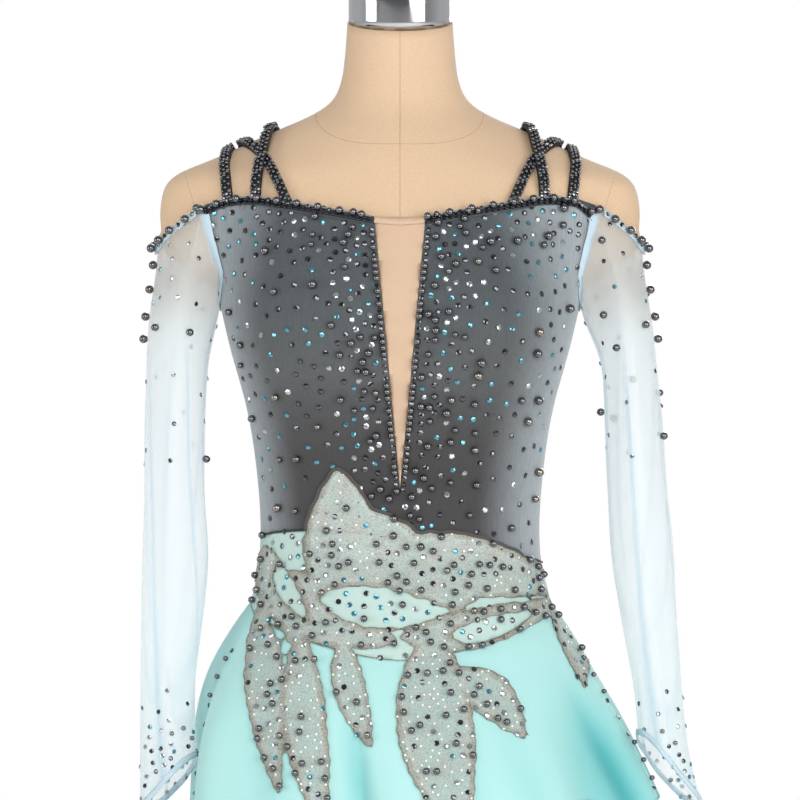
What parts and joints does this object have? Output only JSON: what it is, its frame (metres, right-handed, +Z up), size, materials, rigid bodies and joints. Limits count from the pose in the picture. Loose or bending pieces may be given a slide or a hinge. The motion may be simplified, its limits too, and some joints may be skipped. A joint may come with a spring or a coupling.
{
  "type": "skater dress on a dress form",
  "caption": "Off-shoulder skating dress with long sheer sleeves, a short flared skirt and beaded lace, on a limbless dress form with a stand.",
  "frame": {"origin": "centre of the stand's foot on the floor", "axes": "+Z up, -Y the front of the dress, +X the wearer's left"},
  "size_m": [0.4607, 0.3682, 1.4991],
  "materials": {
    "beige_linen": "woven linen, matte",
    "chrome": "polished",
    "painted_stand": "satin",
    "charcoal_stretch_mesh": "fine stretch mesh shaded from charcoal to grey, slight sheen",
    "nude_stretch_mesh": "fine matte mesh",
    "pale_aqua_lycra": "smooth stretch cloth",
    "aqua_chiffon": "soft sheer, slight sheen",
    "deep_aqua_chiffon": "soft sheer",
    "ice_blue_sheer_mesh": "sheer",
    "beaded_edging": "bound edge with beads",
    "beaded_cord": "cord covered with beads",
    "grey_lace": "raised lace with beads"
  },
  "bodies": {
    "root": {"form_torso": "beige_linen", "form_neck_cap": "chrome", "form_pole": "painted_stand", "form_base": "painted_stand", "bodice_front": "charcoal_stretch_mesh", "bodice_back": "charcoal_stretch_mesh", "front_insert": "nude_stretch_mesh", "basque_front": "pale_aqua_lycra", "basque_back": "pale_aqua_lycra", "skirt_outer": "aqua_chiffon", "skirt_under": "deep_aqua_chiffon", "sleeve_left": "ice_blue_sheer_mesh", "sleeve_right": "ice_blue_sheer_mesh", "cuff_binding_left": "beaded_edging", "cuff_binding_right": "beaded_edging", "sleeve_binding_left": "beaded_edging", "sleeve_binding_right": "beaded_edging", "neck_binding_left": "beaded_edging", "neck_binding_right": "beaded_edging", "neck_binding_back": "beaded_edging", "insert_binding": "nude_stretch_mesh", "strap_outer_left": "beaded_cord", "strap_middle_left": "beaded_cord", "strap_inner_left": "beaded_cord", "strap_outer_right": "beaded_cord", "strap_middle_right": "beaded_cord", "strap_inner_right": "beaded_cord", "lace_applique": "grey_lace"}
  },
  "joints": []
}
